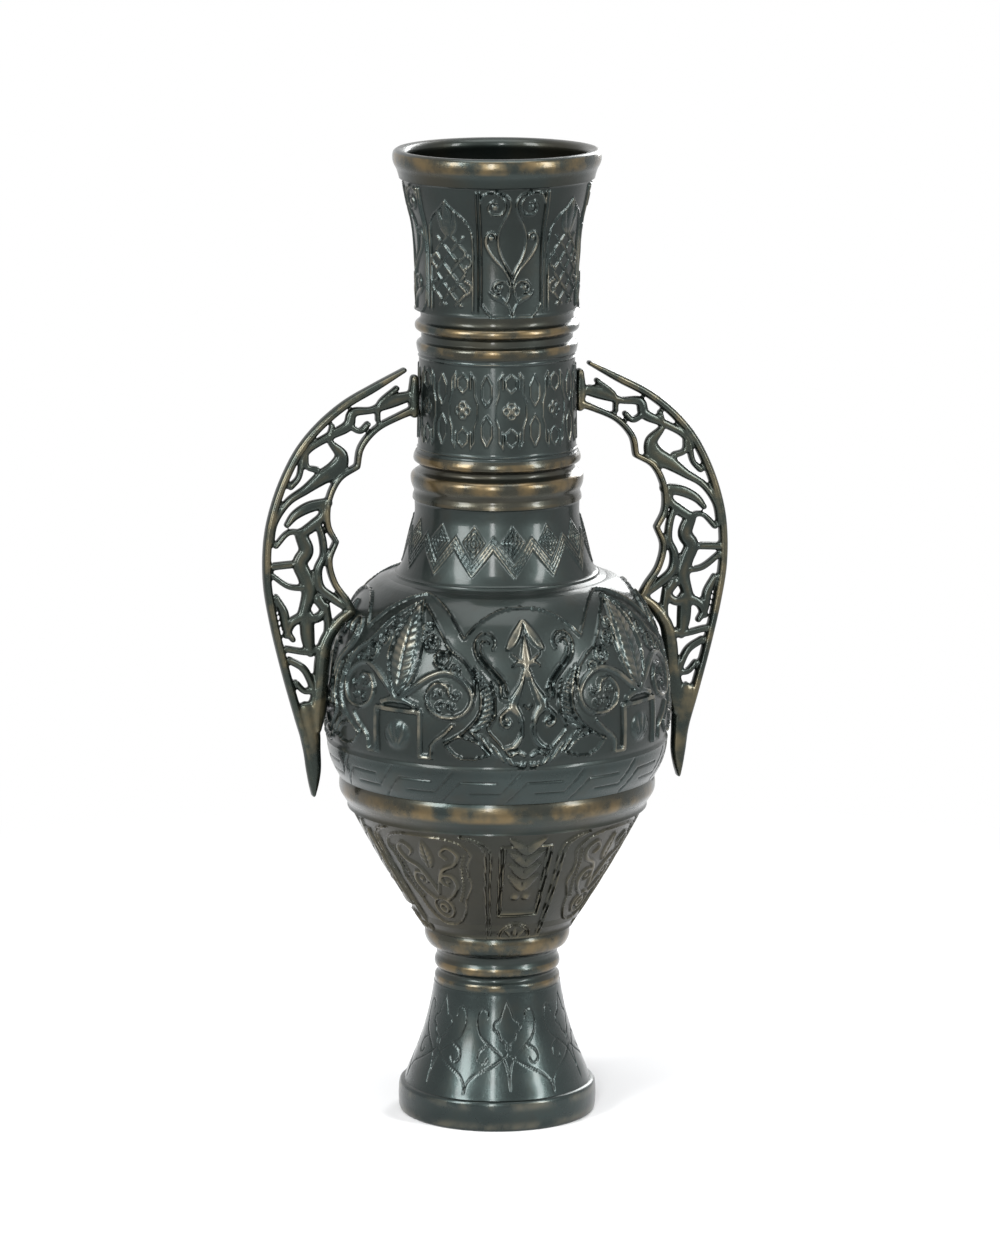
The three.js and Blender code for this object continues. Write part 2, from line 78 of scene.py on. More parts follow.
class VaseBodySettings(bpy.types.PropertyGroup):
    """Sizes of the turned vessel's surface."""

    inset: bpy.props.FloatProperty(
        name="Surface inset", description="How far the finished skin lies inside the solid", default=0.15,
        unit="NONE")
    columns: bpy.props.IntProperty(
        name="Columns", description="Points round a section with relief", default=720)
    plain_columns: bpy.props.IntProperty(
        name="Plain columns", description="Points round a plain section", default=192)
    row_step: bpy.props.FloatProperty(
        name="Row step", description="Height of one row of faces in mm", default=1.1, unit="NONE")
    shoulder_depth: bpy.props.FloatProperty(
        name="Shoulder relief", description="Depth of the shoulder's carving in mm", default=2.6, unit="NONE")
    collar_depth: bpy.props.FloatProperty(
        name="Collar relief", description="Depth of the collar's carving in mm", default=1.5, unit="NONE")
    body_depth: bpy.props.FloatProperty(
        name="Body relief", description="Depth of the lower body's carving in mm", default=1.7, unit="NONE")
    band_depth: bpy.props.FloatProperty(
        name="Band relief", description="Depth of the neck's, cone's and key band's lines in mm", default=0.9,
        unit="NONE")
    foot_depth: bpy.props.FloatProperty(
        name="Foot relief", description="Depth of the foot's incised lines in mm", default=0.7, unit="NONE")


class VaseHandleSettings(bpy.types.PropertyGroup):
    """Sizes of the two pierced handles."""

    depth: bpy.props.FloatProperty(
        name="Depth", description="Thickness of the casting in mm", default=10.8, unit="NONE")
    voxel: bpy.props.FloatProperty(
        name="Voxel", description="Grain of the joined casting in mm", default=0.85, unit="NONE")


class VaseStageSettings(bpy.types.PropertyGroup):
    """Camera, floor and lights."""

    distance: bpy.props.FloatProperty(
        name="Distance", description="Level distance from the axis to the camera in mm", default=4578.0,
        unit="NONE")
    height: bpy.props.FloatProperty(
        name="Height", description="Height of the camera in mm", default=1282.0, unit="NONE")
    pitch: bpy.props.FloatProperty(
        name="Pitch", description="How far the camera looks down in degrees", default=10.98, unit="NONE")
    lens: bpy.props.FloatProperty(
        name="Lens", description="Focal length in mm on a 36 mm sensor", default=174.7, unit="NONE")
    aside: bpy.props.FloatProperty(
        name="Aside", description="How far the camera stands right of the axis in mm", default=2.3, unit="NONE")


# Surfaces of revolution, in mm

def cad_outline(node, top):
    """Outer points (radius, height) of a CAD section below `top`, from the vertices on its front ray.

    A point counts when a face that touches it looks away from the axis.
    """
    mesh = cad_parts[node].data
    place = np.zeros(len(mesh.vertices) * 3)
    mesh.vertices.foreach_get("co", place)
    place = place.reshape(-1, 3) / MM
    looks = np.zeros(len(mesh.polygons) * 3)
    mesh.polygons.foreach_get("normal", looks)
    looks = looks.reshape(-1, 3)
    faces = np.zeros(len(mesh.polygons) * 3, int)
    mesh.polygons.foreach_get("vertices", faces)
    faces = faces.reshape(-1, 3)
    middle = place[faces].mean(1)
    away = (looks[:, 0] * middle[:, 0] + looks[:, 1] * middle[:, 1]) / np.hypot(middle[:, 0], middle[:, 1])
    outer = np.zeros(len(place), bool)
    outer[faces[away > 0.12].ravel()] = True
    ray = outer & (np.abs(place[:, 0]) < 0.01) & (place[:, 1] < 0) & (place[:, 2] < top + 0.01)
    found = {}
    for x, y, z in place[ray]:
        key = round(z, 2)
        found[key] = max(found.get(key, 0.0), -y)
    heights = np.array(sorted(found))
    radii = np.array([found[h] for h in heights])
    return np.stack([radii, heights], 1)


def smooth_line(points, step):
    """A centripetal Catmull-Rom curve through `points`, resampled at an even `step` of arc length."""
    points = np.asarray(points, float)
    before = 2 * points[0] - points[1]
    after = 2 * points[-1] - points[-2]
    run = np.vstack([before, points, after])
    knots = np.concatenate([[0], np.cumsum(np.maximum(np.linalg.norm(np.diff(run[:, :2], axis=0), axis=1), 1e-6) ** 0.5)])
    pieces = []
    for i in range(1, len(run) - 2):
        t0, t1, t2, t3 = knots[i - 1:i + 3]
        t = np.linspace(t1, t2, 13)[:-1, None]
        a1 = (t1 - t) / (t1 - t0) * run[i - 1] + (t - t0) / (t1 - t0) * run[i]
        a2 = (t2 - t) / (t2 - t1) * run[i] + (t - t1) / (t2 - t1) * run[i + 1]
        a3 = (t3 - t) / (t3 - t2) * run[i + 1] + (t - t2) / (t3 - t2) * run[i + 2]
        b1 = (t2 - t) / (t2 - t0) * a1 + (t - t0) / (t2 - t0) * a2
        b2 = (t3 - t) / (t3 - t1) * a2 + (t - t1) / (t3 - t1) * a3
        pieces.append((t2 - t) / (t2 - t1) * b1 + (t - t1) / (t2 - t1) * b2)
    line = np.vstack([*pieces, points[-1:]])
    length = np.concatenate([[0], np.cumsum(np.linalg.norm(np.diff(line[:, :2], axis=0), axis=1))])
    count = max(2, int(round(length[-1] / step)) + 1)
    even = np.linspace(0, length[-1], count)
    return np.stack([np.interp(even, length, line[:, k]) for k in range(line.shape[1])], 1)


def line_length(line):
    """Arc length at each point of a line."""
    return np.concatenate([[0], np.cumsum(np.linalg.norm(np.diff(line[:, :2], axis=0), axis=1))])


def new_piece(name, place, faces, relief, node, material):
    """One mesh object in metres with a point attribute `relief` from 0 (ground) to 1 (raised)."""
    mesh = bpy.data.meshes.new(name)
    mesh.vertices.add(len(place))
    mesh.vertices.foreach_set("co", (place * MM).astype(np.float32).ravel())
    mesh.loops.add(faces.size)
    mesh.loops.foreach_set("vertex_index", faces.astype(np.int32).ravel())
    mesh.polygons.add(len(faces))
    mesh.polygons.foreach_set("loop_start", np.arange(0, faces.size, 4, dtype=np.int32))
    mesh.polygons.foreach_set("use_smooth", np.ones(len(faces), bool))
    layer = mesh.attributes.new("relief", "FLOAT", "POINT")
    layer.data.foreach_set("value", relief.astype(np.float32))
    mesh.update(calc_edges=True)
    mesh.validate()
    mesh.set_sharp_from_angle(angle=math.radians(55))
    mesh.materials.append(material)
    piece = bpy.data.objects.new(name, mesh)
    bpy.context.scene.collection.objects.link(piece)
    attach(piece, "root")
    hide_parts(node)
    return piece


def turned_piece(name, outer, inner, columns, sunk, relief, material):
    """A closed ring of quads: each profile point is carried round the axis, then pushed in by `sunk`.

    `outer` runs up the outside and `inner` runs down the inside, both as (radius, height). `sunk` and
    `relief` hold one value for each outer point and column.
    """
    rows = len(outer) + len(inner)
    angle = np.arange(columns) / columns * TURN
    around = np.stack([np.sin(angle), -np.cos(angle)], 1)
    slope = np.gradient(outer, axis=0)
    slope /= np.linalg.norm(slope, axis=1, keepdims=True)
    push = np.stack([slope[:, 1], -slope[:, 0]], 1)
    profile = np.vstack([outer, inner])
    radius = np.repeat(profile[:, :1], columns, 1)
    height = np.repeat(profile[:, 1:], columns, 1)
    radius[:len(outer)] -= sunk * push[:, :1]
    height[:len(outer)] -= sunk * push[:, 1:]
    place = np.stack([radius * around[:, 0], radius * around[:, 1], height], 2).reshape(-1, 3)
    full = np.zeros((rows, columns))
    full[:len(outer)] = relief
    i = np.arange(rows)[:, None]
    j = np.arange(columns)[None, :]
    up = (i + 1) % rows
    on = (j + 1) % columns
    faces = np.stack([i * columns + j, i * columns + on, up * columns + on, up * columns + j], 2)
    return new_piece(name, place, faces.reshape(-1, 4), full.ravel(), name_to_node(name), material)


def name_to_node(name):
    """The CAD node that a section's skin stands for: the skin's name without its ending."""
    return name.removesuffix("_skin")


# Relief drawn on a flat panel: U runs round, V runs up, both in mm

def ridge(u, v, points, shape="round", step=1.6, closed=False):
    """Height of a carved stroke: 1 on its spine and 0 at its edge, from the distance to its segments.

    Points are (u, v, half-width). A round stroke is a half circle in section, a flat one has a level top,
    and a cord has a groove down its middle.
    """
    points = [(*p, 1.0) if len(p) == 2 else p for p in points]
    if closed:
        points = [*points, points[0]]
    line = smooth_line(points, step) if len(points) > 2 else np.array(points, float)
    best = np.full(u.shape, 9.0)
    for (u0, v0, w0), (u1, v1, w1) in zip(line[:-1], line[1:]):
        near = (u > min(u0, u1) - 8) & (u < max(u0, u1) + 8) & (v > min(v0, v1) - 8) & (v < max(v0, v1) + 8)
        if not near.any():
            continue
        du, dv = u1 - u0, v1 - v0
        along = np.clip(((u[near] - u0) * du + (v[near] - v0) * dv) / max(du * du + dv * dv, 1e-9), 0, 1)
        away = np.hypot(u[near] - u0 - along * du, v[near] - v0 - along * dv)
        best[near] = np.minimum(best[near], away / (w0 + along * (w1 - w0)))
    return section(best, shape)


def section(q, shape):
    """Height of a stroke's cross-section at the relative distance `q` from its spine."""
    if shape == "flat":
        return np.clip((1.0 - q) / 0.35, 0, 1)
    if shape == "cord":
        return np.clip((1.0 - q) / 0.3, 0, 1) * (0.62 + 0.38 * np.clip(q / 0.55, 0, 1))
    return np.sqrt(np.clip(1 - q * q, 0, 1))


def dome(u, v, cu, cv, radius):
    """A round boss."""
    return np.sqrt(np.clip(1 - ((u - cu) ** 2 + (v - cv) ** 2) / radius ** 2, 0, 1))


def ring(u, v, cu, cv, radius, half):
    """A raised circle."""
    q = np.abs(np.hypot(u - cu, v - cv) - radius) / half
    return np.sqrt(np.clip(1 - q * q, 0, 1))


def leaf(u, v, base, tip, half, ribs=0, lean=0.0):
    """A pointed leaf between two points: a low dome with a central vein and slanting ribs."""
    du, dv = tip[0] - base[0], tip[1] - base[1]
    length = math.hypot(du, dv)
    along = ((u - base[0]) * du + (v - base[1]) * dv) / length ** 2
    across = ((u - base[0]) * -dv + (v - base[1]) * du) / length
    inside = (along > 0) & (along < 1)
    t = np.clip(along, 1e-4, 1 - 1e-4)
    across = across - lean * 4 * t * (1 - t)
    width = half * np.sin(math.pi * t ** 0.8) ** 0.75
    q = np.abs(across) / np.maximum(width, 1e-3)
    body = np.clip((1 - q) / 0.3, 0, 1) * (0.75 + 0.25 * (1 - np.clip(q, 0, 1) ** 2))
    if ribs:
        phase = along * ribs - q * 0.9
        body = body * (0.66 + 0.34 * np.abs(np.cos(math.pi * phase)))
        body = body * np.clip(0.4 + q / 0.16, 0, 1)
    return np.where(inside, body, 0.0)


def spiral(cu, cv, start, end, turns, begin, half, hand=1):
    """Points of a volute that winds from radius `start` to `end`, from the angle `begin` in degrees."""
    t = np.linspace(0, 1, max(8, int(turns * 14)))
    radius = start + (end - start) * t
    angle = math.radians(begin) + hand * TURN * turns * t
    width = half * (1 - 0.35 * t)
    return list(zip(cu + radius * np.cos(angle), cv + radius * np.sin(angle), width))


def scroll_filling(u, v, cu, cv, radius):
    """Small paired curls that fill a large volute."""
    h = np.zeros(u.shape)
    for k in range(5):
        a = TURN * k / 5 + 0.4
        su, sv = cu + radius * 0.56 * math.cos(a), cv + radius * 0.56 * math.sin(a)
        curl = ridge(u, v, spiral(su, sv, radius * 0.3, radius * 0.08, 1.1, math.degrees(a) + 180, 0.62))
        h = np.maximum(h, 0.8 * curl)
        h = np.maximum(h, 0.75 * dome(u, v, su, sv, radius * 0.1))
    return h


def collar_lyre(u, v):
    """Front panel of the collar: a tall lyre of two mirrored stems with volutes at the foot and the top."""
    m = np.abs(u)
    h = ridge(m, v, [(0, 1, .7), (4.1, 10.5, 1.3), (9, 15, 2.3), (13.5, 17, 2.2), (18, 19.6, .5)])
    h = np.maximum(h, ridge(m, v, [(4.5, 12, 1), (2, 18, 1), (2.3, 24, 1), (5.5, 28, 1), (11, 28, 1.1),
                                   (14.6, 24.2, 1.1), (13.4, 20.4, 1), (10, 19.6, .9)]))
    h = np.maximum(h, dome(m, v, 10, 23.4, 2.9))
    h = np.maximum(h, ridge(m, v, [(.6, 23, .7), (2.3, 30, .9), (7, 38, 1), (13.4, 45, 1.1), (18.3, 51.5, 1.3),
                                   (20.6, 57.2, 1.5), (20.2, 62.5, 1.3), (17, 66, 1), (13.6, 64.6, .9),
                                   (13.2, 61, .8)]))
    h = np.maximum(h, dome(m, v, 16.6, 61.6, 2.2))
    h = np.maximum(h, ridge(m, v, [(0, 31, .7), (3.5, 38, .9), (8.2, 46, 1), (10.8, 54, 1), (11, 63, .9),
                                   (8.2, 72, .9), (3.5, 82, .9), (2.2, 89.5, .9), (6, 96, .9), (13, 98.6, .8)]))
    h = np.maximum(h, ridge(m, v, [(24, 90, .8), (21, 96, .9), (15, 97.4, .9), (8, 93.6, .9), (5.8, 87, .9),
                                   (9.3, 80.4, .9), (16, 80.6, .9), (18.5, 86, .9), (15.6, 90.6, .8),
                                   (11.8, 89.4, .8)]))
    return np.maximum(h, dome(m, v, 13.4, 86, 2.8))


def interlace(u, v, pitch, half, low, high, reach):
    """Two families of slanting bands that pass over and under each other inside a tall field."""
    a, b = (u + v) / pitch, (v - u) / pitch
    da, db = a - np.round(a), b - np.round(b)
    turn = (np.round(a) + np.round(b)) % 2
    unit = half / pitch
    over_a = section(np.abs(da) / unit, "cord")
    over_b = section(np.abs(db) / unit, "cord")
    near_a, near_b = np.abs(da) < unit * 1.35, np.abs(db) < unit * 1.35
    over_a = np.where((turn == 1) & near_b, 0, over_a)
    over_b = np.where((turn == 0) & near_a, 0, over_b)
    field = (np.abs(u) < reach) & (v > low) & (v < high)
    return np.where(field, np.maximum(over_a, over_b), 0)


def collar_knot(u, v):
    """Side panel of the collar: a tall interlaced knot under a bud with three leaves."""
    m = np.abs(u)
    h = interlace(u, v - 4, 15.0, 1.7, 4, 58, 14.5)
    for low in (22, 42):
        h = np.maximum(h, ridge(m, v, [(13, low - 5, 1.1), (18, low - 2, 1.1), (18.5, low + 3, 1.1),
                                       (13.6, low + 6, 1.1)], "cord"))
    h = np.maximum(h, leaf(m, v, (0, 62), (0, 90), 4.4))
    h = np.maximum(h, leaf(m, v, (2, 62), (7, 83), 3.0, lean=-1.5))
    h = np.maximum(h, ridge(m, v, [(0, 90, .7), (5, 84, .7), (12, 78, .8), (18, 70, .9), (20, 62, .9), (20, 5, .9)]))
    return h


def collar_relief(u, v, length, half):
    """Eight tall panels with line frames: lyres on the even ones, knots on the odd ones."""
    lyre = collar_lyre(u, v)
    other = np.where(u > 0, u - 2 * half, u + 2 * half)
    knot = collar_knot(other, v)
    frame_lines = ridge(np.abs(u), v, [(half - 1.6, 10, .7), (half - 1.6, 60, .7), (half - 1.6, 98, .7)])
    frame_lines = np.maximum(frame_lines, ridge(np.abs(u), v, [(half + 1.2, 5, .7), (half + 1.2, 98, .7)]))
    corner = ridge(np.abs(u), v, [(0, 1.6, .7), (half - 9, 1.6, .7), (half - 1.6, 10, .7)])
    return np.maximum.reduce([lyre, knot, frame_lines, corner])


def palmette(u, v):
    """Shoulder palmette: a ribbed leaf between two filled volutes, over a strap knot, bars and a fan shell."""
    m = np.abs(u)
    h = leaf(m, v, (0, 56), (0, 131), 14.0, ribs=12)
    h = np.maximum(h, ridge(m, v, [(4, 57, 1.3), (12, 70, 1.2), (16, 88, 1.2), (14, 106, 1.2), (7, 122, 1.1),
                                   (0, 136, .8)]))
    h = np.maximum(h, ridge(m, v, [(0, 51, 2.6), (13, 62, 2.6), (27, 72, 2.4), (41, 76, 2.2), (56, 69, 2),
                                   (63, 57, 1.9), (57, 45, 1.8), (42, 41, 1.7), (29, 47, 1.6), (26, 58, 1.5),
                                   (33, 67, 1.4), (42, 65, 1.3), (45, 58, 1.2)]))
    h = np.maximum(h, 0.85 * scroll_filling(m, v, 42, 56, 15))
    h = np.maximum(h, ridge(m, v, [(5, 131, 1), (20, 119, 1), (33, 105, 1.1), (42, 94, 1.1), (54, 86, 1.1),
                                   (63, 74, 1.1), (65, 60, 1)]))
    for cu, cv, r in ((25, 98, 6), (36, 86, 6.5), (48, 78, 3.6), (18, 111, 4)):
        h = np.maximum(h, 0.9 * ring(m, v, cu, cv, r, 1.1))
        h = np.maximum(h, 0.8 * ridge(m, v, spiral(cu, cv, r * .7, r * .15, 1.3, 40, .7)))
    fan = np.arctan2(m, v - 12)
    shell = dome(m, v * 1.05, 0, 25, 12) * (0.55 + 0.45 * np.abs(np.cos(fan * 8)))
    h = np.maximum(h, 0.95 * shell)
    h = np.maximum(h, ridge(m, v, [(0, 52, 3.2), (8, 51, 2.6), (14, 49, 2.0)]))
    h = np.maximum(h, dome(m, v, 15, 48.5, 3))
    h = np.maximum(h, ridge(m, v, [(0, 43.5, 2.1), (20.5, 43.5, 2.1)], "flat"))
    h = np.maximum(h, ridge(m, v, [(20.5, 43.5, 2.1), (20.5, 9, 2.1)], "flat"))
    h = np.maximum(h, ridge(m, v, [(20.5, 9, 1.8), (30, 9, 1.8)], "flat"))
    return np.maximum(h, ridge(m, v, [(48, 35, 1.5), (41, 28, 1.6), (31, 19, 1.6), (30, 10, 1.2)]))


def ribbed_horn(u, v):
    """Two ribbed crescents at the lotus's side, the long circle that edges them and the lens at the foot."""
    upper = ridge(u, v, [(39, 76, 1), (34, 66, 3.2), (31, 55, 4.2), (32, 45, 4.4), (37, 36, 3.4), (46, 30, 1)])
    lower = ridge(u, v, [(43, 30, 1.2), (35, 24, 3.2), (27, 17, 3.6), (17, 9, 3), (7, 4, 1.6)])
    upper = upper * (0.6 + 0.4 * np.cos(TURN * (v + 0.5 * u) / 4.0))
    lower = lower * (0.6 + 0.4 * np.cos(TURN * (u - 0.7 * v) / 4.4))
    h = np.maximum(upper, lower)
    h = np.maximum(h, ridge(u, v, [(43, 80, .8), (38.5, 68, .9), (36.5, 56, 1), (38, 45, 1), (47, 33, 1), (64, 21, 1)]))
    h = np.maximum(h, ridge(u, v, [(29, 70, .8), (25.5, 56, .9), (26, 44, .9), (31, 33, .9), (25, 25, .9), (14, 12, .8)]))
    h = np.maximum(h, ridge(u, v, [(66, 20, .9), (56, 11, .9), (45, 9, .9), (32, 12, .9)]))
    return np.maximum(h, ridge(u, v, [(66, 21, .9), (54, 26, .9), (41, 23, .9), (30, 13, .9)]))


def lotus(u, v):
    """Shoulder lotus: a trefoil on a spindle stem with volutes, in a lyre of two lines."""
    m = np.abs(u)
    h = leaf(m, v, (16, 94), (0.3, 120), 4.6, lean=1.0)
    h = np.maximum(h, ridge(m, v, [(0, 106, .8), (0, 96, 3.2), (0, 87, 4.6), (0, 79, 2.6), (0, 74, 2)]))
    h = np.maximum(h, ridge(m, v, [(3, 84, 1.6), (8, 88, 1.4), (13, 92, .6)]))
    h = np.maximum(h, ridge(m, v, [(3, 84, 1.4), (8, 84, 1.1), (12, 81, .6)]))
    h = np.maximum(h, ridge(m, v, [(2, 77, 1.5), (5, 67, 2), (10, 57, 4), (12, 51, 4.2), (7, 44, 2.4), (4.8, 36, 1.7),
                                   (5, 28, 1.7), (10, 20, 2.2), (18, 17.5, .9)]))
    h = np.maximum(h, ridge(m, v, [(11, 50, 1.6), (17, 47.5, 1.5), (21.5, 42, 1.5), (19.5, 36, 1.4), (15, 35, 1.3),
                                   (13.5, 38.5, 1.2)]))
    h = np.maximum(h, dome(m, v, 16.3, 40.6, 2.4))
    h = np.maximum(h, ridge(m, v, [(27.6, 95, 1.3), (25.5, 101, 1.3), (31, 107.5, 1.2), (38, 107.5, 1.2), (43.5, 100, 1.2),
                                   (41, 89, 1.2), (29.5, 77, 1.2), (22, 68, 1.2), (20, 57, 1.2), (14, 56, 1)]))
    h = np.maximum(h, ridge(m, v, [(31, 100, .8), (36, 102, .9), (38.6, 97, .9), (36, 89, .9), (25.5, 78, .9),
                                   (18, 69, .9), (16, 61, .8)]))
    h = np.maximum(h, ridge(m, v, [(3.4, 52, .8), (0, 48, .8)]))
    h = np.maximum(h, dome(m, v, 3.6, 4.6, 2.8))
    return np.maximum(h, ridge(m, v, [(3, 12, 1.6), (8, 15, 1.8), (13, 12, .8)]))


def shoulder_relief(u, v, length, half):
    """Four palmettes and four lotuses in turn, under a scalloped line. U is 0 at a lotus."""
    span = 2 * half
    m = np.abs(u)
    flipped = span - m
    h = np.maximum.reduce([lotus(m, v), palmette(flipped, v), ribbed_horn(m, v)])
    scallop = [(0, 131, 1), (18, 129, 1), (34, 122, 1), (46, 112, 1), (half, 103, 1)]
    h = np.maximum(h, ridge(m, v, scallop))
    crest = [(0, 143, 1), (14, 138, 1), (30, 128, 1), (43, 116, 1), (half, 103, 1)]
    return np.maximum(h, ridge(flipped, v, crest))


def key_relief(u, v, length, half):
    """A running slanted key of two nested hooks, cut as thin grooves, so the lines are the ground."""
    pitch = 2 * half
    rising = [(0.0, 0.05), (0.30, 0.66), (0.86, 0.66)]
    hanging = [(0.42, 0.32), (0.90, 0.32), (1.20, 0.95)]
    cut = np.zeros(u.shape)
    for shift in (-pitch, 0, pitch):
        for hook in (rising, hanging):
            points = [((x - 0.5) * pitch + shift, y * length, 0.75) for x, y in hook]
            for first, last in zip(points[:-1], points[1:]):
                cut = np.maximum(cut, ridge(u, v, [first, last]))
    return 1 - cut


def chevron_relief(u, v, length, half):
    """Zigzag of three nested lines with nested lozenges over each valley."""
    m = np.abs(u)
    h = np.zeros(u.shape)
    for k in range(3):
        rise = 9 + 3.9 * k
        h = np.maximum(h, section(np.abs(v - rise - m * 1.4) / 1.6, "flat"))
    away = m + np.abs(v - 35) / 1.4
    for reach in (8.6, 5.6, 2.6):
        h = np.maximum(h, section(np.abs(away - reach) / 0.85, "flat"))
    return h


def neck_relief(u, v, length, half):
    """Generic strapwork: four-lobed knots, crossing paired bars and short bars."""
    m = np.abs(u)
    mid = length / 2
    w = np.abs(v - mid)
    h = ring(m, w, 3.2, 0, 3.0, .8)
    h = np.maximum(h, ring(m, w, 0, 3.2, 3.0, .8))
    for line in (
        [(half * .62, 0, .7), (half * .62, 6, .7), (half * .5, 13, .7), (half * .5, 24, .7), (half * .34, 29, .7)],
        [(half * .34, 17, .8), (half * .34, 28, .8)],
        [(0, 14, .8), (half * .22, 18, .8), (half * .22, 24, .8), (0, 28, .8)],
        [(half * .98, 4, .7), (half * .8, 10, .7), (half * .8, 20, .7), (half * .98, 27, .7)],
    ):
        for first, last in zip(line[:-1], line[1:]):
            h = np.maximum(h, ridge(m, w, [first, last], "flat"))
    return np.maximum(h, section(np.abs(w - length * 0.46) / 0.8, "round"))


def body_relief(u, v, length, half):
    """Lower body: tapered frames with an ear of leaves, in turn with lobed shields of scrolls."""
    m = np.abs(u)
    other = 2 * half - m
    h = np.zeros(u.shape)
    for k in range(4):
        base = 52 + 12.5 * k
        h = np.maximum(h, leaf(m, v, (0.2, base), (13, base + 17), 4.2, lean=1.4))
    h = np.maximum(h, dome(m, v, 5, 46, 4))
    for inner, low in ((17.5, 28), (20.5, 25)):
        for first, last in (((0, low, .9), (inner, low, .9)), ((inner, low, .9), (inner - 2.4, 98, .9))):
            h = np.maximum(h, ridge(m, v, [first, last], "flat"))
    h = np.maximum(h, ridge(m, v, [(0, 98, .9), (18, 98, .9)], "flat"))
    for edge in (29.0, 33.0):
        h = np.maximum(h, ridge(m, v, [(edge, 2, .9), (edge - 2.5, 60, .9), (edge - 3.5, 90, .9), (edge - 1, 99, .9),
                                       (edge + 8, 105, .9), (46, 107, .9)]))
    h = np.maximum(h, ridge(m, v, [(0, 1.5, .8), (33, 1.5, .8)], "flat"))
    arch = np.hypot(m, (v - 2) * 1.35)
    for radius in (19.5, 16.5):
        h = np.maximum(h, np.where(v > 2, section(np.abs(arch - radius) / 1.1, "round"), 0))
    h = np.maximum(h, leaf(m, v, (0, 2), (0, 13), 3.2))
    h = np.maximum(h, leaf(m, v, (4, 2), (11, 9), 2.4))
    outline = [(0, 105, 1), (16, 104, 1), (29, 99, 1), (35, 89, 1), (32, 79, 1), (31, 68, 1), (33, 58, 1), (29, 48, 1),
               (25, 40, 1), (23, 30, 1), (17, 20, 1), (8, 14, 1), (0, 13, 1)]
    h = np.maximum(h, ridge(other, v, outline))
    beads = ridge(other, v, [(30, 88, 1.6), (27, 76, 1.6), (26, 62, 1.6), (24, 50, 1.6), (20, 40, 1.6)])
    h = np.maximum(h, beads * (0.5 + 0.5 * np.cos(TURN * v / 3.4)))
    h = np.maximum(h, leaf(other, v, (0, 72), (0, 100), 6, ribs=6))
    h = np.maximum(h, ring(other, v, 0, 31, 10, 1.4))
    h = np.maximum(h, ring(other, v, 0, 31, 4, 1.6))
    h = np.maximum(h, ridge(other, v, [(7, 40, 1.8), (15, 47, 2), (20, 57, 2), (16, 66, 1.8), (8, 65, 1.6), (7, 58, 1.4),
                                       (12, 55, 1.2)]))
    h = np.maximum(h, ridge(other, v, [(0, 46, 1.6), (4, 58, 1.8), (11, 72, 2), (21, 78, 2), (25, 88, 1.8), (18, 95, 1.6),
                                       (12, 88, 1.4), (16, 83, 1.2)]))
    return np.maximum(h, dome(other, v, 12.5, 60, 2.6))


def foot_relief(u, v, length, half):
    """Foot: thin incised vines, a trefoil flower and pointed festoons. The lines are the ground."""
    m = np.abs(u)
    cut = ridge(m, v, [(0, 78, .5), (4, 70, .5), (7, 63, .5), (11, 61, .5), (12, 56, .5), (8, 53, .5), (6, 48, .5),
                       (2, 45, .5), (1.6, 40, .5)])
    cut = np.maximum(cut, ridge(m, v, [(0, 8, .5), (1, 22, .5), (5, 34, .5), (14, 42, .5), (23, 50, .5), (27, 62, .5),
                                       (24, 71, .5), (18, 70, .5), (17, 65, .5)]))
    cut = np.maximum(cut, ridge(m, v, [(16, 43, .5), (23, 39, .5), (25, 32, .5), (20, 28, .5), (17, 32, .5)]))
    cut = np.maximum(cut, ridge(m, v, [(1, 36, .5), (10, 29, .5), (18, 24, .5), (25, 20, .5), (31, 13, .5),
                                       (half, 4, .5)]))
    return 1 - cut


RELIEFS = {
    "neck_collar": (collar_relief, 8, 66.0, "collar_depth"),
    "shoulder": (shoulder_relief, 8, 136.0, "shoulder_depth"),
    "lower_body": (body_relief, 8, 95.0, "body_depth"),
    "foot": (foot_relief, 6, 62.0, "foot_depth"),
    "key_fret_band": (key_relief, 16, 131.0, "band_depth"),
    "shoulder_cone": (chevron_relief, 14, 69.0, "band_depth"),
    "neck_band": (neck_relief, 10, 62.0, "band_depth"),
}


# The shoulder's rows are this much taller, which keeps the piece under 200,000 triangles
TALL_ROWS = 1.2

# Sections whose panels alternate between two designs
PAIRED = ("neck_collar", "shoulder", "lower_body")

# Sections with incised lines, whose flat ground gets almost none of the rubbed colour with its painted highlight, and
# no painted shade
INCISED = ("key_fret_band", "foot")
INCISED_GROUND_SHARE = 0.58


def proud_share(outer):
    """1 where a turned profile bulges out past its own running mean, falling to 0.2 in its hollows."""
    width = min(15, len(outer) // 2 * 2 - 1)
    padded = np.pad(outer[:, 0], width // 2, mode="edge")
    mean = np.convolve(padded, np.ones(width) / width, mode="valid")
    return np.clip(0.5 + (outer[:, 0] - mean) / 1.6, 0.2, 1)


def section_relief(node, rise, columns, proud):
    """Height from 0 to 1 at each profile point and column of a section, by folding it into its panels."""
    if node not in RELIEFS:
        # Plain sections take this share as their relief, so their bulges get the rubbed colour with painted highlight
        # and their hollows get painted shade.
        return np.repeat(proud[:, None], columns, 1)
    rule, panels, radius, _ = RELIEFS[node]
    count = panels // 2 if node in PAIRED else panels
    half = math.pi / panels * radius
    period = TURN / count
    clock = math.radians(CLOCKING.get(node, 0.0))
    angle = np.arange(columns) / columns * TURN - clock
    angle = (angle + period / 2) % period - period / 2
    u, v = np.meshgrid(angle * radius, rise)
    return np.clip(rule(u, v, rise[-1], half), 0, 1)


def stack_tops():
    """Height at which each section ends, which is where the next one starts."""
    tops = [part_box(node)[0].z / MM for node in STACK[1:]]
    return dict(zip(STACK, [*tops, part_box(STACK[-1])[1].z / MM]))


# Materials

